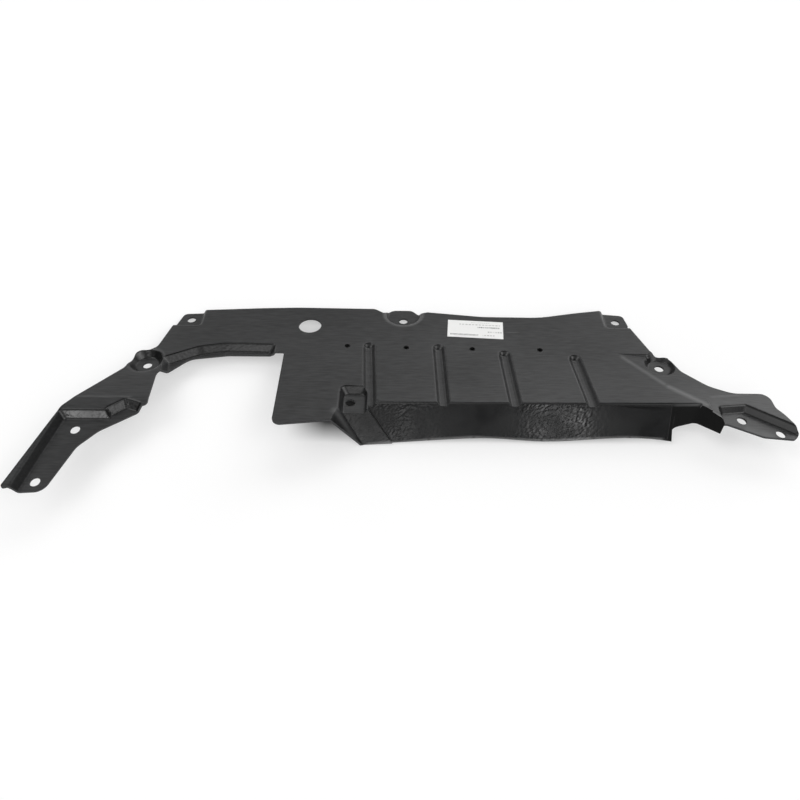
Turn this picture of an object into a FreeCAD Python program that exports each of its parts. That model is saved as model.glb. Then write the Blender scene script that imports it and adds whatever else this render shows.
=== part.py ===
import FreeCAD, Part
import math
import os
from FreeCAD import Placement, Rotation, Vector

# The shield is one thermoformed sheet of black plastic. It is described here over its mould:
# X runs along the bumper, Y towards the rear of the car, and Z is 0 on top of the flat deck.
# The mould is built twice, at the upper and at the lower face of the sheet, and the sheet is
# what lies between the two. It is then trimmed to its outline, punched and laid down to rest.
# Outlines are lists of (x, y, corner radius), anticlockwise from above, with y 0 at the fold.
# At the two ends, X is given from the dished seat there.
sheet = 2.5
rim_radius = 4.0
floor_radius = 3.0
trim_margin = 60.0
head_room = 15.0

# Bolts: from the middle to the side tabs, and to the dished seats that place both ends
tab_spacing = 298.0
dish_spacing = 337.0
bolt_hole = 12.0

# Deck and apron
fold_y = -3.0
apron_draft = 25.0
deck_back_y = 187.0
deck_left_x = -158.0
deck_front_y = -43.0

# Lower edge of the apron: its depth under the deck, how far it rises at places along it, and
# its end by the arch
lip_depth = 51.9
lip_waves = [(-60.0, 0.0), (-14.0, 2.4), (75.0, 7.9), (108.0, 8.7), (171.0, 5.2), (262.0, 9.6)]
lip_end = (2.0, 5.9)
mould_depth = 2 * lip_depth
mould_reach = 2 * dish_spacing

# Swelling of the apron under the pocket, and the flank that joins it to the deck
swell_y = -14.0
swell_draft = 19.0
swell_right_x = -40.0
swell_lean = 34.0
flank_foot = (-74.0, -14.0, -10.0)
flank_facing = (0.796, -0.256, 0.548)
flank_top = (-66.0, -8.0)

# Grooves that stiffen the deck and run out over the fold
groove_depth = 5.0
groove_width = 17.0
groove_draft = 45.0
groove_rounding = 6.0
groove_run = 150.0
grooves = [(-46.0, 111.0, 2.5), (47.0, 108.0, 1.5), (134.0, 96.0, 2.7), (226.0, 88.0, 5.4)]

# Pocket with a bolt seat at the left end of the apron
pocket_left_x = -80.0
pocket_right_x = -42.0
pocket_back_y = 26.0
pocket_corner = 9.0
pocket_depth = 10.0
pocket_draft = 30.0
pocket_hole = (pocket_left_x + 14, 5.0)

# Bolt tabs along the back, one step lower than the deck
tab_depth = 6.0
tab_draft = 30.0
tab_hole_y = deck_back_y - 21
middle_tab_y = deck_back_y - 12
middle_tab_radius = 25.0
side_tab_inner_x = tab_spacing - 18
side_tab_front_y = deck_back_y - 40
side_tab_corner = 6.0

# Dished bolt seats at the two shoulders
dish_y = 73.0
dish_radius = 22.5
dish_depth = 10.0
dish_draft = 38.0

# Lowered strip that stiffens the edge of the large cut-out, with X as a share of its width
strip_depth = 10.0
strip_draft = 35.0
gap_width = deck_left_x + dish_spacing
strip_rim = [(0.156, 30, 6), (0.927, 30, 6), (0.927, 107, 4), (0.553, 109, 70), (0.358, 102, 50),
             (0.112, 79, 4)]

# Left arm: a sloping band, then a lowered seat beside an upstanding flange
left_band_x = deck_left_x - gap_width / 2
left_band_y = 3.0
left_band_fall = 8.0
left_seat_depth = 11.0
left_seat_rim = [(-117, -170, 6), (15, -170, 6), (15, -17, 5), (-83, -17, 5)]
left_niche_rim = [(-35, -40, 5), (15, -40, 5), (15, -6, 5), (-6, 1, 8), (-27, -14, 6)]
seat_draft = 32.0
left_holes = [(-61, -40), (-86, -114)]

# Right wing: two facets hinged on a bowed ridge, then a band and a seat like the left arm's
wing_ridge = [(-49.0, 86.5), (-4.0, 30.0), (39.0, -5.4)]
wing_fall = 6.0
wing_back_y = 91.0
wing_back_draft = 45.0
right_band_x = 41.0
right_band_start = (47.0, 10.0)
right_band_end = (118.0, 23.0)
right_band_fall = 6.0
right_seat_depth = 9.0
right_seat_rim = [(51, -100, 6), (183, -100, 6), (147, -31, 5), (89, 2, 4), (51, -5, 5)]
right_holes = [(81, -18), (124, -36)]

# Arch at the right end of the apron, and its skirt's depth under the deck at places along it
arch_left_x = -4.0
arch_right_x = 31.0
arch_back_y = -5.0
arch_slant = 45.0
arch_corner = 10.0
arch_draft = 5.0
apron_end_draft = 20.0
arch_skirt = [(2.0, 38.0), (25.0, 30.0), (60.0, 24.0)]

# Holes to reach through and to drain the deck
access_hole = 31.0
access_place = (-129.0, 147.0)
drain_hole = 5.5
drains = [(-75.0, 104.0), (4.0, 101.0), (92.0, 99.0), (182.0, 98.0)]

# Cutting die
lip_y = swell_y - (lip_depth - pocket_depth) * math.tan(math.radians(swell_draft))
front_trim = [(deck_left_x, deck_front_y, 10), (-90, -35, 8), (-49, lip_y - 0.2, 1),
              (-48, lip_y - trim_margin, 2), (dish_spacing + arch_right_x, lip_y - trim_margin, 1)]
right_trim = [(55, -24, 6), (100, -43, 12), (137, -44, 6), (145, -37, 5), (134, -12, 30), (126, 0, 10),
              (125, 24, 12), (78, 21, 30), (51, 33, 40), (24, 62, 14), (15, 89, 14), (-7, 92, 12)]
back_trim = [(tab_spacing + 14, side_tab_front_y + 2, 4), (tab_spacing + 16, side_tab_front_y + 11, 4),
             (tab_spacing + 13, deck_back_y - 6, 7), (side_tab_inner_x - 3, deck_back_y - 2, 12),
             (tab_spacing - 56, deck_back_y - 8, 60), (0.64 * tab_spacing, deck_back_y - 19, 120),
             (0.37 * tab_spacing, deck_back_y - 18, 120), (34, deck_back_y - 8, 4),
             (24, deck_back_y - 11, 4), (12, deck_back_y + 3, 10), (-15, deck_back_y + 3, 10),
             (-27, deck_back_y - 11, 4), (-40, deck_back_y - 1, 10),
             (-tab_spacing / 2, deck_back_y + 1, 200), (-0.67 * tab_spacing, deck_back_y - 1, 200),
             (-tab_spacing - 12, deck_back_y - 8, 7), (-tab_spacing - 20, side_tab_front_y, 20)]
left_trim = [(8, 96, 12), (-16, 92, 12), (-23, 58, 16), (-82, -12, 12), (-118, -128, 3), (-106, -125, 3),
             (-74, -123, 16), (-53, -62, 20), (-33, -39, 30), (11, -10, 5), (22, -9, 6), (20, 49, 14)]
cut_out_trim = [(0.296, 87, 25), (0.570, 95, 40), (0.899, 95, 3), (0.922, 90, 2), (1.0, 90, 3)]

# Paper label
label_length = 76.0
label_width = 37.0
label_thickness = 0.15
label_place = (99.0, 141.0)
label_turn = -4.0


def by_dish(corners, side):
    """Corners given from the left (-1) or the right (1) dished seat, placed on the mould."""
    return [(side * dish_spacing + corner[0],) + corner[1:] for corner in corners]


def across_gap(corners):
    """Corners given as shares of the cut-out's width, placed on the mould."""
    return [(share * gap_width - dish_spacing, y, radius) for share, y, radius in corners]


def pushed(corners, push):
    """Moves every side of an anticlockwise outline of (x, y, radius) outwards by push."""
    moved = []
    for index, (x, y, radius) in enumerate(corners):
        here = Vector(x, y, 0)
        last = corners[index - 1]
        following = corners[(index + 1) % len(corners)]
        arriving = (here - Vector(last[0], last[1], 0)).normalize()
        leaving = (Vector(following[0], following[1], 0) - here).normalize()
        outwards = Vector(arriving.y + leaving.y, -arriving.x - leaving.x, 0)
        spot = here + outwards * (push / (1 + arriving.dot(leaving)))
        moved.append((spot.x, spot.y, radius))
    return moved


def outline(corners, height):
    """A closed wire through the corners, each rounded to its own radius, at one height."""
    ends = []
    for index, (x, y, radius) in enumerate(corners):
        here = Vector(x, y, height)
        last = corners[index - 1]
        following = corners[(index + 1) % len(corners)]
        arriving = (here - Vector(last[0], last[1], height)).normalize()
        leaving = (Vector(following[0], following[1], height) - here).normalize()
        turn = arriving.getAngle(leaving)
        cut = radius * math.tan(turn / 2)
        inwards = (leaving - arriving).normalize()
        middle = here + inwards * (radius / math.cos(turn / 2) - radius)
        ends.append((here - arriving * cut, middle, here + leaving * cut))
    edges = []
    for index, (start, middle, end) in enumerate(ends):
        before = ends[index - 1][2]
        if before.distanceToPoint(start) > 0.001:
            edges.append(Part.LineSegment(before, start).toShape())
        edges.append(Part.Arc(start, middle, end).toShape())
    return Part.Wire(edges)


def drafted_block(corners, lower_push, bottom, upper_push, top, grow):
    """A block with flat drafted sides, its corners rounded by their radius plus grow."""
    lower = [Vector(x, y, bottom) for x, y, radius in pushed(corners, lower_push)]
    upper = [Vector(x, y, top) for x, y, radius in pushed(corners, upper_push)]
    faces = [Part.Face(Part.makePolygon(ring + ring[:1])) for ring in (lower[::-1], upper)]
    for index in range(len(corners)):
        side = [lower[index - 1], lower[index], upper[index], upper[index - 1], lower[index - 1]]
        faces.append(Part.Face(Part.makePolygon(side)))
    shell = Part.Shell(faces)
    shell.sewShape()
    block = Part.Solid(shell)
    for (x, y, radius), foot, head in zip(corners, lower, upper):
        if radius > 0:
            middle = (foot + head) * 0.5
            slanted = [edge for edge in block.Edges if edge.distToShape(Part.Vertex(middle))[0] < 0.001]
            block = block.makeFillet(radius + grow, slanted)
    return block


def recess(corners, depth, draft, above, grow, rounding=floor_radius):
    """The space above a level surface and in a drafted recess under it, both larger by grow."""
    slope = math.tan(math.radians(draft))
    level = grow / math.cos(math.radians(draft))
    bottom = -depth - grow
    space = drafted_block(corners, level + bottom * slope, bottom,
                          level + head_room * slope, head_room, grow)
    floor_edges = [edge for edge in space.Edges if abs(edge.BoundBox.ZMax - bottom) < 0.01]
    space = space.makeFillet(rounding + grow, floor_edges).fuse(above)
    rim_edges = [edge for edge in space.Edges if is_rim(edge, above)]
    return space.makeFillet(rim_radius - grow, rim_edges)


def is_rim(edge, above):
    """Whether an edge lies in the lower face of a box and clear of the box's sides."""
    low = Vector(above.BoundBox.XMin, above.BoundBox.YMin, above.BoundBox.ZMin)
    flat = abs(edge.BoundBox.ZMin - low.z) < 0.01 and abs(edge.BoundBox.ZMax - low.z) < 0.01
    from_low = edge.BoundBox.Center - low
    to_high = Vector(above.BoundBox.XMax, above.BoundBox.YMax, 0) - edge.BoundBox.Center
    return flat and min(from_low.x, from_low.y, to_high.x, to_high.y) > 0.01


def above_deck(grow):
    reach = mould_reach + trim_margin
    return box_between((-reach, -reach, -grow), (reach, reach, head_room))


def half_section(half_width, depth, draft, grow, rounding):
    """Half of a recess's section as edges, from over its rim to the middle of its floor."""
    angle = math.radians(draft)
    turn = math.pi / 2 - angle
    inwards = Vector(-math.sin(angle), 0, -math.cos(angle))
    rim = Vector(half_width + grow * (1 - math.sin(angle)) / math.cos(angle), 0, -grow)
    foot = rim + inwards * (depth / math.cos(angle))
    bends = []
    for corner, radius, start, end in [(rim, rim_radius - grow, Vector(1, 0, 0), inwards),
                                       (foot, rounding + grow, inwards * -1, Vector(-1, 0, 0))]:
        cut = radius * math.tan(turn / 2)
        towards = (start + end).normalize()
        middle = corner + towards * (radius / math.cos(turn / 2) - radius)
        bends.append((corner + start * cut, middle, corner + end * cut))
    (rim_start, rim_middle, wall_start), (wall_end, floor_middle, floor_start) = bends
    edges = [Part.LineSegment(Vector(rim_start.x, 0, head_room), rim_start).toShape(),
             Part.Arc(rim_start, rim_middle, wall_start).toShape(),
             Part.LineSegment(wall_start, wall_end).toShape(),
             Part.Arc(wall_end, floor_middle, floor_start).toShape(),
             Part.LineSegment(floor_start, Vector(0, 0, floor_start.z)).toShape()]
    return edges


def round_recess(centre, radius, depth, draft, grow, rounding=floor_radius):
    """A round recess in the deck, turned about its axis."""
    edges = half_section(radius, depth, draft, grow, rounding)
    start = edges[0].Vertexes[0].Point
    floor = Vector(0, 0, -depth - grow)
    top = Vector(0, 0, head_room)
    edges += [Part.LineSegment(floor, top).toShape(), Part.LineSegment(top, start).toShape()]
    space = Part.Face(Part.Wire(edges)).revolve(Vector(0, 0, 0), Vector(0, 0, 1), 360)
    space.translate(Vector(centre[0], centre[1], 0))
    return space


def groove_space(x, y, fan, grow):
    """A long groove of the same section along its run, with a round head, open over the fold."""
    half = groove_width / 2
    edges = half_section(half, groove_depth, groove_draft, grow, groove_rounding)
    start = edges[0].Vertexes[0].Point
    others = [edge.mirror(Vector(0, 0, 0), Vector(1, 0, 0)) for edge in edges]
    top = Part.LineSegment(start, Vector(-start.x, 0, head_room)).toShape()
    section = Part.Wire(Part.__sortEdges__(edges + others + [top]))
    run = Part.Face(section).extrude(Vector(0, -groove_run, 0))
    space = run.fuse(round_recess((0, 0), half, groove_depth, groove_draft, grow, groove_rounding))
    space.rotate(Vector(0, 0, 0), Vector(0, 0, 1), fan)
    space.translate(Vector(x, y - half, 0))
    return space


def beyond(point, facing, grow):
    """All that lies past a plane, which is first moved back by grow against its facing."""
    side = 2 * mould_reach
    space = Part.makeBox(side, side, side, Vector(-side / 2, -side / 2, 0))
    facing = Vector(*facing).normalize()
    space.Placement = Placement(Vector(*point) - facing * grow, Rotation(Vector(0, 0, 1), facing))
    return space


def box_between(low, high):
    size = [high[axis] - low[axis] for axis in range(3)]
    return Part.makeBox(size[0], size[1], size[2], Vector(*low))


def tilted(shape, start, end, angle):
    """Turns a shape about the line between two points of the deck."""
    axis = Vector(end[0] - start[0], end[1] - start[1], 0)
    turned = shape.copy()
    turned.rotate(Vector(start[0], start[1], 0), axis, angle)
    return turned


def apron_space(grow):
    """What is taken away in front of the apron, leaving the swelling under the pocket."""
    draft = math.radians(apron_draft)
    lean = math.radians(swell_lean)
    swelling_draft = math.radians(swell_draft)
    front = beyond((0, fold_y, 0), (0, -math.cos(draft), math.sin(draft)), grow)
    front = front.common(beyond(flank_foot, flank_facing, grow))
    end = math.radians(apron_end_draft)
    end_x = dish_spacing + arch_right_x
    front = front.common(beyond((end_x, 0, 0), (-math.cos(end), 0, math.sin(end)), grow))
    swelling = box_between((-mould_reach, -mould_reach, -mould_depth),
                           (mould_reach, mould_reach, mould_reach))
    swell_front = (0, -math.cos(swelling_draft), math.sin(swelling_draft))
    swelling = swelling.cut(beyond((0, swell_y, -pocket_depth), swell_front, grow))
    swell_side = (math.cos(lean), 0, math.sin(lean))
    swelling = swelling.cut(beyond((swell_right_x, 0, -pocket_depth), swell_side, grow))
    return front.cut(swelling)


def pocket_space(grow):
    places = [(pocket_left_x, deck_front_y), (pocket_right_x, deck_front_y),
              (pocket_right_x, pocket_back_y), (pocket_left_x, pocket_back_y)]
    corners = [(x, y, pocket_corner) for x, y in places]
    return recess(corners, pocket_depth, pocket_draft, above_deck(grow), grow)


def side_tab_space(side, grow):
    inner = side_tab_inner_x
    outer = inner + trim_margin
    back = deck_back_y + trim_margin / 2
    places = [(inner, side_tab_front_y), (outer, side_tab_front_y), (outer, back), (inner, back)]
    if side < 0:
        places = [(-x, y) for x, y in reversed(places)]
    corners = [(x, y, side_tab_corner) for x, y in places]
    return recess(corners, tab_depth, tab_draft, above_deck(grow), grow)


def left_seat_space(grow):
    """The left arm's band, its lowered seat and the rounded niche at the seat's inner end."""
    band = box_between((-mould_reach, -mould_reach, -grow), (left_band_x, deck_back_y, head_room))
    seat = recess(by_dish(left_seat_rim, -1), left_seat_depth, seat_draft, band, grow)
    niche = recess(by_dish(left_niche_rim, -1), left_seat_depth, seat_draft, band, grow)
    return on_left_band(seat.fuse(niche))


def on_left_band(shape):
    return tilted(shape, (0, left_band_y), (1, left_band_y), left_band_fall)


def wing_space(grow):
    """What is taken away above both facets of the wing, in front of its low back wall."""
    above = box_between((0, -mould_reach, -grow), (mould_reach, mould_reach, mould_depth))
    back, middle, front = by_dish(wing_ridge, 1)
    wall = math.radians(wing_back_draft)
    facets = tilted(above, middle, back, wing_fall).common(tilted(above, front, middle, wing_fall))
    return facets.common(beyond((0, wing_back_y, 0), (0, -math.cos(wall), math.sin(wall)), grow))


def on_wing(shape):
    """Lays a shape on the wing's front facet."""
    back, middle, front = by_dish(wing_ridge, 1)
    return tilted(shape, front, middle, wing_fall)


def on_right_band(shape):
    start, end = by_dish([right_band_start, right_band_end], 1)
    return on_wing(tilted(shape, start, end, right_band_fall))


def right_seat_space(grow):
    """The band at the right end and its lowered seat."""
    band = box_between((dish_spacing + right_band_x, -mould_reach, -grow),
                       (mould_reach, deck_back_y, trim_margin))
    return on_right_band(recess(by_dish(right_seat_rim, 1), right_seat_depth, seat_draft, band, grow))


def arch_space(grow):
    front_y = -deck_back_y
    foot_x = arch_right_x + (arch_back_y - front_y) * math.tan(math.radians(arch_slant))
    corners = [(arch_left_x, front_y, 0), (foot_x, front_y, 0), (arch_right_x, arch_back_y, arch_corner),
               (arch_left_x, arch_back_y, arch_corner)]
    slope = math.tan(math.radians(arch_draft))
    level = grow / math.cos(math.radians(arch_draft))
    return drafted_block(by_dish(corners, 1), level - mould_depth * slope, -mould_depth,
                         level + head_room * slope, head_room, grow)


def bent_body(grow):
    """The deck with the apron and the arch, its fold and the top of its flank rounded."""
    body = box_between((-mould_reach, -2 * deck_back_y, -mould_depth),
                       (mould_reach, 2 * deck_back_y, -grow))
    body = body.cut([apron_space(grow), arch_space(grow)])
    on_fold = Part.Vertex(dish_spacing / 2, fold_y + grow, -grow)
    on_flank = Part.Vertex(flank_top[0], flank_top[1], -grow)
    bends = [min(body.Edges, key=lambda edge: edge.distToShape(spot)[0]) for spot in (on_fold, on_flank)]
    return body.makeFillet(rim_radius - grow, bends)


def mould(grow):
    """The mould, with every face moved inwards by grow."""
    spaces = [pocket_space(grow)]
    spaces.append(recess(across_gap(strip_rim), strip_depth, strip_draft, above_deck(grow), grow))
    spaces += [groove_space(x, y, fan, grow) for x, y, fan in grooves]
    spaces += [side_tab_space(side, grow) for side in (-1, 1)]
    spaces.append(round_recess((0, middle_tab_y), middle_tab_radius, tab_depth, tab_draft, grow))
    spaces += [left_seat_space(grow), wing_space(grow), right_seat_space(grow)]
    for x in (-dish_spacing, dish_spacing):
        spaces.append(round_recess((x, dish_y), dish_radius, dish_depth, dish_draft, grow))
    return bent_body(grow).cut(spaces)


def trim_block():
    """All that lies inside the cutting die, seen from above."""
    corners = front_trim + by_dish(right_trim, 1) + back_trim + by_dish(left_trim, -1)
    corners += across_gap(cut_out_trim)
    return Part.Face(outline(corners, -2 * mould_depth)).extrude(Vector(0, 0, 3 * mould_depth))


def below_lip():
    """What is cut away under the waving lower edge of the apron and under the arch's skirt."""
    wave = Part.BSplineCurve()
    points = [Vector(x, -mould_reach, rise - lip_depth) for x, rise in lip_waves + by_dish([lip_end], 1)]
    wave.interpolate(points)
    low = -2 * mould_depth
    rest = [(x, -depth) for x, depth in by_dish(arch_skirt, 1)]
    rest += [(mould_reach, rest[-1][1]), (mould_reach, low)]
    rest += [(-mould_reach, low), (-mould_reach, points[0].z)]
    rest = [points[-1]] + [Vector(x, -mould_reach, z) for x, z in rest] + [points[0]]
    edges = [wave.toShape()] + [Part.LineSegment(a, b).toShape() for a, b in zip(rest, rest[1:])]
    return Part.Face(Part.Wire(edges)).extrude(Vector(0, 2 * mould_reach, 0))


def punch(place, diameter):
    radius = diameter / 2
    return Part.makeCylinder(radius, 2 * trim_margin, Vector(place[0], place[1], -trim_margin))


def hole_punches():
    places = [(x, tab_hole_y) for x in (-tab_spacing, 0, tab_spacing)]
    places += [(-dish_spacing, dish_y), (dish_spacing, dish_y), pocket_hole]
    tools = [punch(place, bolt_hole) for place in places]
    tools += [punch(place, drain_hole) for place in drains]
    tools.append(punch(access_place, access_hole))
    tools += [on_left_band(punch(place, bolt_hole)) for place in by_dish(left_holes, -1)]
    return tools + [on_right_band(punch(place, bolt_hole)) for place in by_dish(right_holes, 1)]


def shield_sheet():
    shell = mould(0).cut(mould(sheet))
    return shell.common(trim_block()).cut([below_lip()] + hole_punches()).Solids[0]


def label():
    paper = Part.makeBox(label_length, label_width, label_thickness,
                         Vector(-label_length / 2, -label_width / 2, 0))
    paper.Placement = Placement(Vector(label_place[0], label_place[1], 0),
                                Rotation(Vector(0, 0, 1), label_turn))
    return paper


def at_rest(shape):
    """Leans the shield back until its tabs and the deepest part of its lip lie on one plane."""
    rise = lip_depth - tab_depth - sheet
    lean = math.degrees(math.atan2(rise, deck_back_y - lip_y))
    laid = shape.copy()
    laid.rotate(Vector(0, 0, 0), Vector(1, 0, 0), -lean)
    return laid


shield = shield_sheet()
pieces = {"splash_shield": at_rest(shield), "paper_label": at_rest(label())}
bounds = pieces["splash_shield"].optimalBoundingBox(False, False)
to_floor = Vector(-bounds.Center.x, -bounds.Center.y, -bounds.ZMin)
os.makedirs("parts", exist_ok=True)
for name, shape in pieces.items():
    shape.translate(to_floor)
    shape.exportStep("parts/%s.step" % name)
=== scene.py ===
import math

import bmesh
import bpy
from mathutils import Matrix, Vector


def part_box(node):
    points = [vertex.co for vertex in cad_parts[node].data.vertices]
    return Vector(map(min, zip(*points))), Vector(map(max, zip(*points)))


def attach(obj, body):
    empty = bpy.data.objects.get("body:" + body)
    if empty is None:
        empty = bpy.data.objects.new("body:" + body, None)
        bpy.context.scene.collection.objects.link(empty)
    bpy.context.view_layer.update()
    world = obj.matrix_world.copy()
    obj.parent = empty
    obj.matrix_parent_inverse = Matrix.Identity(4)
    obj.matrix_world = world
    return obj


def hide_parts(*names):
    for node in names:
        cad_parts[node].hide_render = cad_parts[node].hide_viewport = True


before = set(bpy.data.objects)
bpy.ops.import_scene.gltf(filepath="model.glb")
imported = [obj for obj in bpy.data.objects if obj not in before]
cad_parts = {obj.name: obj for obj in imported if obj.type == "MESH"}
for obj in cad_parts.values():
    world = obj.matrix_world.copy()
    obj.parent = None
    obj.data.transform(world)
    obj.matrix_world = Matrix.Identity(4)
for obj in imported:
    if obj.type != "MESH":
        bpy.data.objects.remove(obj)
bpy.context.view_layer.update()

# The formed sheet: one piece of black plastic, drawn hot over a mould, trimmed and punched.
# The flat deck took the mould's fine grain, the steep walls stretched into coarse pebbles, the
# bends carry painted highlights, and painted shade blackens the drain holes and the arch's wall.
sheet_black = (0.0025, 0.0026, 0.0027, 1.0)
sheet_haze = (0.0260, 0.0265, 0.0272, 1.0)
sheet_specular = 0.40
cut_grey = (0.045, 0.046, 0.047, 1.0)
cut_roughness = 0.65
# Painted shade: black and matt, for the drain holes and the arch's wall.
painted_shade_black = (0, 0, 0, 1)
painted_shade_roughness = 1.0

# Haze and grain lighten the sheet by these shares, each over a span of its pattern's tones. The
# roughness of the deck and of the walls changes over such a span too.
haze_share = 0.3
haze_tones = (0.35, 0.65)
grain_share = 0.7
grain_tones = (0.25, 0.75)
deck_gloss_tones = (0.3, 0.7)
deck_roughness = (0.40, 0.32)
wall_gloss_tones = (0.35, 0.65)
wall_roughness = (0.10, 0.22)

# Mesh corners closer than this are joined, an edge past this angle stays sharp, and even a sharp
# edge is eased by this radius, so that it catches light.
weld_distance = 0.00001
sheet_sharp_angle = math.radians(38)
eased_edge_radius = 0.0015
eased_edge_samples = 4

# Each pattern of the surface: cells per metre, finer layers, and the share of those cells along
# X, where it is drawn out longer. The heights are in metres.
haze_pattern = (9.0, 5.0, 1.0)
drawn_pattern = (60.0, 3.0, 0.12)
grain_pattern = (450.0, 1.0, 0.13)
pebble_pattern = (360.0, 0.0, 0.55)
patch_pattern = (26.0, 2.0, 1.0)
warp_pattern = (4.5, 1.0, 1.0)
drawn_share = 0.8
grain_height = 0.00012
pebble_height = 0.00015
warp_height = 0.0016

# A wall counts as drawn as its normal turns to the front, and the deck's grain runs out halfway.
# Its pebbles lean, and are full only along these spans of X, which fade beyond their ends.
drawn_facing = (-0.10, -0.40)
grain_runs_out = 0.5
pebble_lean = math.radians(40)
pebbled_spans = [(-0.47, 0.0, 0.05), (0.168, 0.186, 0.052)]
smoother_wall = 0.15

# The rim and the holes are cut square to the deck, so a cut face's normal lies in the deck.
deck_up = (0.0, 0.1975, 0.9803)
cut_facing = (0.04, 0.02)

# Painted highlights run in plan from one spot to another, with half a width and how much lighter
# they are: the wing's ridge and band, the arm's band, the arch's rim, the wing's tip, the tabs,
# a thin line beside the label, and the flank.
highlight_bends = [
    ((0.274, 0.056), (0.319, 0.001), 0.005, 0.055),
    ((0.319, 0.001), (0.362, -0.034), 0.006, 0.08),
    ((0.370, -0.0175), (0.425, -0.0085), 0.003, 0.035),
    ((-0.420, -0.0254), (-0.350, -0.0254), 0.0025, 0.03),
    ((0.321, -0.0335), (0.352, -0.0325), 0.0022, 0.12),
    ((0.352, -0.0325), (0.378, -0.056), 0.0025, 0.10),
    ((0.320, -0.036), (0.320, -0.066), 0.002, 0.08),
    ((0.400, -0.066), (0.435, -0.078), 0.014, 0.05),
    ((0.2663, 0.155), (0.2663, 0.116), 0.0035, 0.06),
    ((0.2663, 0.116), (0.300, 0.116), 0.0035, 0.05),
    ((-0.2937, 0.155), (-0.2937, 0.116), 0.003, 0.025),
    ((0.126, 0.1045), (0.143, 0.1040), 0.0009, 0.05),
    ((-0.100, -0.044), (-0.072, -0.066), 0.007, 0.05)]
highlight_end_fade = 0.003

# A painted highlight runs along the apron's lip, from the flank to the arch.
lip_line = [(-0.060, -0.0665), (0.019, -0.0617), (0.075, -0.0593), (0.160, -0.0619),
            (0.225, -0.0598), (0.270, -0.0587), (0.312, -0.0600)]
lip_half_width = 0.0024
lip_highlight_grey = 0.16

# Painted highlight rings round the middle tab and the left dished seat, each by its centre,
# radius, half a width and how much lighter it is.
highlight_rings = [((-0.0137, 0.1432), 0.0265, 0.004, 0.07), ((-0.3507, 0.0432), 0.0235, 0.003, 0.03)]

# Painted shade, black and matt, fills the four drain holes and the arch's wall, soft at its edges.
drains = [(-0.0887, 0.0736), (-0.0097, 0.0707), (0.0783, 0.0687), (0.1683, 0.0677)]
drain_shade_radius = 0.0035
drain_shade_fade = 0.0006
arch_middle = 0.348
arch_half_width = 0.0295
arch_side_fade = 0.001
arch_back = -0.030
arch_back_fade = 0.004

sheet_mesh = bpy.data.meshes.new("formed_sheet")
formed = bmesh.new()
formed.from_mesh(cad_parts["splash_shield"].data)
bmesh.ops.remove_doubles(formed, verts=formed.verts, dist=weld_distance)
for face in formed.faces:
    face.smooth = True
for edge in formed.edges:
    edge.smooth = len(edge.link_faces) == 2 and edge.calc_face_angle(0) < sheet_sharp_angle
formed.to_mesh(sheet_mesh)
formed.free()
formed_sheet = bpy.data.objects.new("formed_sheet", sheet_mesh)
bpy.context.scene.collection.objects.link(formed_sheet)
flat_faces_first = formed_sheet.modifiers.new("flat_faces_first", "WEIGHTED_NORMAL")
flat_faces_first.keep_sharp = True


def new_material(name):
    """A material with nodes, and its shader."""
    material = bpy.data.materials.new(name)
    material.use_nodes = True
    return material, material.node_tree.nodes["Principled BSDF"]


def node(material, kind, **settings):
    """A shader node with its settings, such as operation or data_type."""
    made = material.node_tree.nodes.new(kind)
    for name, value in settings.items():
        setattr(made, name, value)
    return made


def noise(material, place, pattern):
    """Smooth grey noise on the piece's own coordinates."""
    cells, layers, share_along_x = pattern
    mapping = node(material, "ShaderNodeMapping")
    mapping.inputs["Scale"].default_value = (share_along_x, 1, 1)
    texture = node(material, "ShaderNodeTexNoise")
    texture.inputs["Scale"].default_value = cells
    texture.inputs["Detail"].default_value = layers
    material.node_tree.links.new(place, mapping.inputs["Vector"])
    material.node_tree.links.new(mapping.outputs["Vector"], texture.inputs["Vector"])
    return texture.outputs["Fac"]


def spread(material, value, low, high, out_low, out_high):
    """Maps low..high to out_low..out_high and stops there."""
    ranged = node(material, "ShaderNodeMapRange")
    bounds = (("From Min", low), ("From Max", high), ("To Min", out_low), ("To Max", out_high))
    for name, number in bounds:
        ranged.inputs[name].default_value = number
    material.node_tree.links.new(value, ranged.inputs["Value"])
    return ranged.outputs["Result"]


def combine(material, operation, one, two=0.0):
    """A math node on two sockets or numbers."""
    math_node = node(material, "ShaderNodeMath", operation=operation)
    for socket, value in zip(math_node.inputs, (one, two)):
        if isinstance(value, (int, float)):
            socket.default_value = value
        else:
            material.node_tree.links.new(value, socket)
    return math_node.outputs[0]


def off(material, value, middle):
    """How far a value lies from a middle, to either side."""
    return combine(material, "ABSOLUTE", combine(material, "SUBTRACT", value, middle))


def mixed(material, kind, factor, one, two, blend="MIX"):
    """One and two, colours or numbers, mixed by a factor."""
    mix = node(material, "ShaderNodeMix", data_type=kind, blend_type=blend)
    for name, value in (("Factor", factor), ("A", one), ("B", two)):
        if isinstance(value, bpy.types.NodeSocket):
            material.node_tree.links.new(value, mix.inputs[name])
        else:
            mix.inputs[name].default_value = value
    return mix.outputs["Result"]


def bump(material, height, depth, under=None):
    """Raises the surface by height times depth metres, on top of an earlier bump."""
    raised = node(material, "ShaderNodeBump")
    raised.inputs["Strength"].default_value = 1.0
    raised.inputs["Distance"].default_value = depth
    material.node_tree.links.new(height, raised.inputs["Height"])
    if under is not None:
        material.node_tree.links.new(under, raised.inputs["Normal"])
    return raised.outputs["Normal"]


plastic, plastic_shader = new_material("black_plastic")
place = node(plastic, "ShaderNodeTexCoord")
spot = place.outputs["Object"]
facing = node(plastic, "ShaderNodeSeparateXYZ")
plastic.node_tree.links.new(place.outputs["Normal"], facing.inputs["Vector"])
plan = node(plastic, "ShaderNodeSeparateXYZ")
plastic.node_tree.links.new(spot, plan.inputs["Vector"])
drawn_wall = spread(plastic, facing.outputs["Y"], *drawn_facing, 0.0, 1.0)


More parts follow.
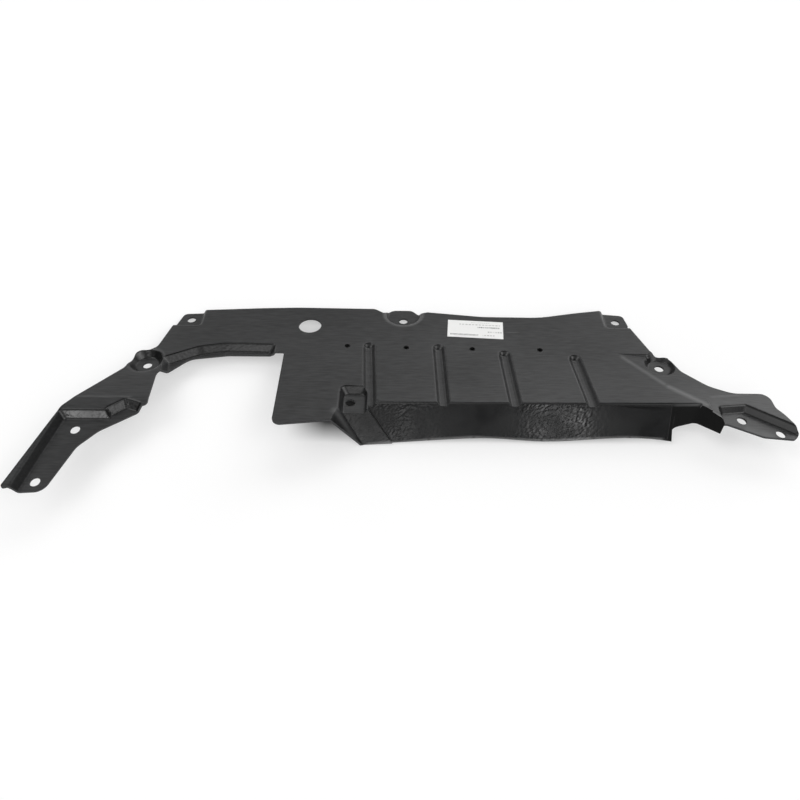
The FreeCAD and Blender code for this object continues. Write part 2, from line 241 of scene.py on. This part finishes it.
def from_spot(centre):
    """How far a place on the sheet lies from a spot, along X and along Y."""
    return [combine(plastic, "SUBTRACT", plan.outputs[axis], middle)
            for axis, middle in zip("XY", centre)]


def away_from(centre):
    """How far a place on the sheet lies from a spot, in plan."""
    squares = [combine(plastic, "MULTIPLY", way, way) for way in from_spot(centre)]
    return combine(plastic, "SQRT", combine(plastic, "ADD", *squares))


def along_bend(start, end, half_width, grey):
    """Grey on the line from start to end, fading out beside it and past its ends."""
    length = math.dist(start, end)
    run_x, run_y = ((after - before) / length for before, after in zip(start, end))
    from_x, from_y = from_spot(start)
    down = combine(plastic, "ADD", combine(plastic, "MULTIPLY", from_x, run_x),
                   combine(plastic, "MULTIPLY", from_y, run_y))
    aside = combine(plastic, "SUBTRACT", combine(plastic, "MULTIPLY", from_x, run_y),
                    combine(plastic, "MULTIPLY", from_y, run_x))
    past_ends = combine(plastic, "SUBTRACT", off(plastic, down, length / 2), length / 2)
    beside = spread(plastic, off(plastic, aside, 0.0), half_width, 0.0, 0.0, grey)
    between_ends = spread(plastic, past_ends, highlight_end_fade, -highlight_end_fade, 0.0, 1.0)
    return combine(plastic, "MULTIPLY", beside, between_ends)


haze = noise(plastic, spot, haze_pattern)
drawn = noise(plastic, spot, drawn_pattern)
patches = noise(plastic, spot, patch_pattern)
warp = noise(plastic, spot, warp_pattern)
on_deck = spread(plastic, drawn_wall, 0.0, grain_runs_out, 1.0, 0.0)
grain = combine(plastic, "MULTIPLY", noise(plastic, spot, grain_pattern), on_deck)

leaning = node(plastic, "ShaderNodeMapping")
leaning.inputs["Rotation"].default_value = (0, pebble_lean, 0)
plastic.node_tree.links.new(spot, leaning.inputs["Vector"])
pebbles = noise(plastic, leaning.outputs["Vector"], pebble_pattern)
pebbled = smoother_wall
for start, end, fade in pebbled_spans:
    from_middle = off(plastic, plan.outputs["X"], (start + end) / 2)
    past_ends = combine(plastic, "SUBTRACT", from_middle, (end - start) / 2)
    pebbled = combine(plastic, "MAXIMUM", pebbled, spread(plastic, past_ends, fade, 0.0, 0.0, 1.0))
pebbles = combine(plastic, "MULTIPLY", combine(plastic, "MULTIPLY", pebbles, drawn_wall), pebbled)

sawn = node(plastic, "ShaderNodeVectorMath", operation="DOT_PRODUCT")
sawn.inputs[1].default_value = deck_up
plastic.node_tree.links.new(place.outputs["Normal"], sawn.inputs[0])
cut = spread(plastic, off(plastic, sawn.outputs["Value"], 0.0), *cut_facing, 0.0, 1.0)

# Painted highlights along the bends, the apron's lip and the rings round the tab and the seat.
painted_highlight = 0.0
for start, end, half_width, grey in highlight_bends:
    painted_highlight = combine(plastic, "MAXIMUM", painted_highlight, along_bend(start, end, half_width, grey))
for start, end in zip(lip_line, lip_line[1:]):
    painted_highlight = combine(plastic, "MAXIMUM", painted_highlight, along_bend(start, end, lip_half_width, lip_highlight_grey))
for centre, radius, half_width, grey in highlight_rings:
    off_ring = off(plastic, away_from(centre), radius)
    painted_highlight = combine(plastic, "MAXIMUM", painted_highlight, spread(plastic, off_ring, half_width, 0.0, 0.0, grey))

# Painted shade on the arch's wall and in the drain holes.
beside_arch = off(plastic, plan.outputs["X"], arch_middle)
in_arch = spread(plastic, beside_arch, arch_half_width + arch_side_fade, arch_half_width, 0.0, 1.0)
in_arch = combine(plastic, "MULTIPLY", in_arch, drawn_wall)
before_arch = spread(plastic, plan.outputs["Y"], arch_back, arch_back - arch_back_fade, 0.0, 1.0)
painted_shade = combine(plastic, "MULTIPLY", in_arch, before_arch)
drain_shade_edge = drain_shade_radius + drain_shade_fade
for centre in drains:
    in_drain = spread(plastic, away_from(centre), drain_shade_edge, drain_shade_radius, 0.0, 1.0)
    painted_shade = combine(plastic, "MAXIMUM", painted_shade, in_drain)

hazed = spread(plastic, haze, *haze_tones, 0.0, haze_share)
grained = spread(plastic, grain, *grain_tones, 0.0, grain_share)
colour = mixed(plastic, "RGBA", combine(plastic, "ADD", hazed, grained), sheet_black, sheet_haze)
# Painted highlights lighten the colour, and painted shade blackens the drain holes and the arch.
colour = mixed(plastic, "RGBA", 1.0, colour, painted_highlight, blend="ADD")
colour = mixed(plastic, "RGBA", cut, colour, cut_grey)
colour = mixed(plastic, "RGBA", painted_shade, colour, painted_shade_black)
plastic.node_tree.links.new(colour, plastic_shader.inputs["Base Color"])

deck_gloss = spread(plastic, haze, *deck_gloss_tones, *deck_roughness)
wall_gloss = spread(plastic, patches, *wall_gloss_tones, *wall_roughness)
gloss = mixed(plastic, "FLOAT", drawn_wall, deck_gloss, wall_gloss)
gloss = mixed(plastic, "FLOAT", cut, gloss, cut_roughness)
# Where shade is painted, the sheet is fully matt.
gloss = mixed(plastic, "FLOAT", painted_shade, gloss, painted_shade_roughness)
plastic.node_tree.links.new(gloss, plastic_shader.inputs["Roughness"])
plastic_shader.inputs["Specular IOR Level"].default_value = sheet_specular

eased = node(plastic, "ShaderNodeBevel", samples=eased_edge_samples)
eased.inputs["Radius"].default_value = eased_edge_radius
relief = bump(plastic, warp, warp_height, eased.outputs["Normal"])
relief = bump(plastic, pebbles, pebble_height, relief)
fine_relief = combine(plastic, "ADD", grain, combine(plastic, "MULTIPLY", drawn, drawn_share))
relief = bump(plastic, fine_relief, grain_height, relief)
plastic.node_tree.links.new(relief, plastic_shader.inputs["Normal"])

sheet_mesh.materials.clear()
sheet_mesh.materials.append(plastic)
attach(formed_sheet, "root")
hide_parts("splash_shield")

# The label: thin white paper, stuck to the deck behind the grooves. Its print is only plain grey
# rules and ticks, which say nothing.
label_paper = (0.84, 0.84, 0.83, 1.0)
label_ink = (0.08, 0.08, 0.085, 1.0)
label_turn = math.radians(-4)
deck_lean = math.radians(-11.390)
paper_roughness = 0.6
fibre_pattern = (1500.0, 3.0, 1.0)
fibre_height = 0.00003
fade_pattern = (160.0, 2.0, 1.0)
fade_tones = (0.3, 0.6)
faded_ink = 0.4

# Each printed row: its height above the label's middle, half its thickness, its two ends and
# the pitch of its ticks, in metres, and how dark it is. A tick fills this share of its pitch.
label_rules = [
    (0.0145, 0.0008, -0.006, 0.020, 0.0029, 0.30),
    (0.0100, 0.0010, -0.022, 0.034, 0.0046, 0.45),
    (0.0045, 0.0014, 0.003, 0.034, 0.0026, 0.85),
    (-0.0050, 0.0014, 0.016, 0.036, 0.0034, 0.50),
    (-0.0125, 0.0017, -0.034, 0.004, 0.0017, 0.85),
    (-0.0125, 0.0010, 0.010, 0.026, 0.0040, 0.50)]
tick_share = 0.68

low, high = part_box("paper_label")
label_centre = (low + high) / 2
paper, paper_shader = new_material("label_paper")
on_paper = node(paper, "ShaderNodeTexCoord").outputs["Object"]
flat = node(paper, "ShaderNodeMapping", vector_type="TEXTURE")
flat.inputs["Location"].default_value = label_centre
turned = Matrix.Rotation(deck_lean, 3, "X") @ Matrix.Rotation(label_turn, 3, "Z")
flat.inputs["Rotation"].default_value = turned.to_euler("XYZ")
paper.node_tree.links.new(on_paper, flat.inputs["Vector"])
across = node(paper, "ShaderNodeSeparateXYZ")
paper.node_tree.links.new(flat.outputs["Vector"], across.inputs["Vector"])

ink = 0.0
for height, half_height, start, end, pitch, darkness in label_rules:
    in_row = combine(paper, "LESS_THAN", off(paper, across.outputs["Y"], height), half_height)
    after_start = combine(paper, "GREATER_THAN", across.outputs["X"], start)
    before_end = combine(paper, "LESS_THAN", across.outputs["X"], end)
    pitches = combine(paper, "FRACT", combine(paper, "DIVIDE", across.outputs["X"], pitch))
    row = combine(paper, "LESS_THAN", pitches, tick_share)
    for limit in (in_row, after_start, before_end, darkness):
        row = combine(paper, "MULTIPLY", row, limit)
    ink = combine(paper, "MAXIMUM", ink, row)
printed = spread(paper, noise(paper, on_paper, fade_pattern), *fade_tones, faded_ink, 1.0)
ink = combine(paper, "MULTIPLY", ink, printed)
inked_paper = mixed(paper, "RGBA", ink, label_paper, label_ink)
paper.node_tree.links.new(inked_paper, paper_shader.inputs["Base Color"])
fibres = noise(paper, on_paper, fibre_pattern)
paper.node_tree.links.new(bump(paper, fibres, fibre_height), paper_shader.inputs["Normal"])
paper_shader.inputs["Roughness"].default_value = paper_roughness
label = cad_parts["paper_label"]
label.data.materials.clear()
label.data.materials.append(paper)

# The ground: a wide, matt white sheet that the shield lies on. Seen or mirrored, it glows, but
# not in a soft-edged box under the deck, where little light gets in; there its colour is also
# darkened, as a painted shadow.
ground_size = 12.0
ground_below = 0.0002
ground_white = (0.55, 0.55, 0.55, 1.0)
ground_glow_white = (1, 1, 1, 1)
ground_glow = 0.45
shade_black = (0, 0, 0, 1)
shaded_middle = (0.068, 0.034)
shaded_half = (0.232, 0.096)
shade_fade = (0.05, 0.03)
shade_depth = 0.6

ground_form = bmesh.new()
bmesh.ops.create_grid(ground_form, x_segments=1, y_segments=1, size=ground_size / 2)
bmesh.ops.translate(ground_form, verts=ground_form.verts, vec=(0, 0, -ground_below))
ground_mesh = bpy.data.meshes.new("ground")
ground_form.to_mesh(ground_mesh)
ground_form.free()
ground = bpy.data.objects.new("ground", ground_mesh)
bpy.context.scene.collection.objects.link(ground)

matt, matt_shader = new_material("ground_white")
on_ground = node(matt, "ShaderNodeSeparateXYZ")
matt.node_tree.links.new(node(matt, "ShaderNodeTexCoord").outputs["Object"], on_ground.inputs["Vector"])
shade = 1.0
for axis, middle, half, fade in zip("XY", shaded_middle, shaded_half, shade_fade):
    away = off(matt, on_ground.outputs[axis], middle)
    shade = combine(matt, "MULTIPLY", spread(matt, away, half, half - fade, 0.0, 1.0), shade)
shaded = combine(matt, "MULTIPLY", shade, shade_depth)
ground_colour = mixed(matt, "RGBA", shaded, ground_white, shade_black)
matt.node_tree.links.new(ground_colour, matt_shader.inputs["Base Color"])

ray = node(matt, "ShaderNodeLightPath")
shown = combine(matt, "MAXIMUM", ray.outputs["Is Camera Ray"], ray.outputs["Is Glossy Ray"])
shown = combine(matt, "MAXIMUM", shown, ray.outputs["Is Transmission Ray"])
lifted = combine(matt, "MULTIPLY", combine(matt, "SUBTRACT", 1.0, shade), ground_glow)
lifted = combine(matt, "MULTIPLY", shown, lifted)
matt.node_tree.links.new(lifted, matt_shader.inputs["Emission Strength"])
matt_shader.inputs["Emission Color"].default_value = ground_glow_white
matt_shader.inputs["Roughness"].default_value = 1.0
matt_shader.inputs["Specular IOR Level"].default_value = 0.0
ground_mesh.materials.append(matt)

# The light: a dim studio with large soft boxes behind, beside and high in front of the shield,
# and small windows low in front, which only the steep walls mirror.
studio_dim = 0.12
studio_white = (1, 1, 1, 1)
seen_strength = 1.0

# Each box: its turn from the back and its rise, half its spread both ways, all in degrees, and
# its strength.
soft_boxes = [
    (8, 42, 40, 19, 3.9),
    (44, 24, 27, 26, 4.0),
    (-32, 20, 16, 14, 3.0),
    (115, 42, 50, 24, 4.2),
    (180, 66, 60, 22, 1.0),
    (-85, 55, 60, 28, 3.6),
    (-145, 12, 38, 16, 1.6),
    (141, 18, 13, 9, 4.4),
    (-172, 40, 36, 12, 3.1),
    (-156, 14, 5, 8, 7.2),
    (-177, 4, 6, 7, 2.5),
    (-176, 28, 9, 8, 3.2),
    (179, 15, 4, 4, 3.4),
    (167, 15, 2.6, 4, 9.5),
    (160, 18, 3, 4, 1.2)]

studio = bpy.data.worlds.new("studio")
studio.use_nodes = True
bpy.context.scene.world = studio
background = studio.node_tree.nodes["Background"]
background.inputs["Color"].default_value = studio_white
direction = node(studio, "ShaderNodeTexCoord").outputs["Generated"]
height = node(studio, "ShaderNodeSeparateXYZ")
studio.node_tree.links.new(direction, height.inputs["Vector"])
rise = combine(studio, "ARCSINE", height.outputs["Z"])


def toward(axis):
    """How far the direction of a ray points along an axis."""
    product = node(studio, "ShaderNodeVectorMath", operation="DOT_PRODUCT")
    product.inputs[1].default_value = axis
    studio.node_tree.links.new(direction, product.inputs[0])
    return product.outputs["Value"]


def within(angle, middle, half):
    """1 at the middle, fading out to 0 at half degrees to either side."""
    return spread(studio, off(studio, angle, math.radians(middle)), math.radians(half), 0.0, 0.0, 1.0)


glow = studio_dim
for box_turn, box_rise, half_turn, half_rise, box_strength in soft_boxes:
    turn = math.radians(box_turn)
    ahead = toward((math.sin(turn), math.cos(turn), 0))
    aside = toward((math.cos(turn), -math.sin(turn), 0))
    across_box = within(combine(studio, "ARCTAN2", aside, ahead), 0, half_turn)
    up_box = within(rise, box_rise, half_rise)
    lit = combine(studio, "MULTIPLY", combine(studio, "MULTIPLY", across_box, up_box), box_strength)
    glow = combine(studio, "ADD", glow, lit)
straight_on = node(studio, "ShaderNodeLightPath").outputs["Is Camera Ray"]
strength = mixed(studio, "FLOAT", straight_on, glow, seen_strength)
studio.node_tree.links.new(strength, background.inputs["Strength"])

# The camera: above and in front, at the photograph's angle, placed from the label's centre.
view_fall = math.radians(55.390)
view_roll = math.radians(0.40)
focal_pixels = 715.0
photo_width_pixels = 800.0
sensor_width_mm = 36.0
label_to_camera = Vector((-0.1030, -0.6396, 0.7543))

camera_data = bpy.data.cameras.new("camera")
camera_data.sensor_width = sensor_width_mm
camera_data.lens = sensor_width_mm * focal_pixels / photo_width_pixels
camera = bpy.data.objects.new("camera", camera_data)
bpy.context.scene.collection.objects.link(camera)
level_right = Vector((1, 0, 0))
level_up = Vector((0, math.sin(view_fall), math.cos(view_fall)))
looking = Vector((0, math.cos(view_fall), -math.sin(view_fall)))
right = level_right * math.cos(view_roll) + level_up * math.sin(view_roll)
up = level_up * math.cos(view_roll) - level_right * math.sin(view_roll)
axes = Matrix((right, up, -looking)).transposed().to_4x4()
camera.matrix_world = Matrix.Translation(label_centre + label_to_camera) @ axes
bpy.context.scene.camera = camera

bpy.context.scene.view_settings.view_transform = "Standard"
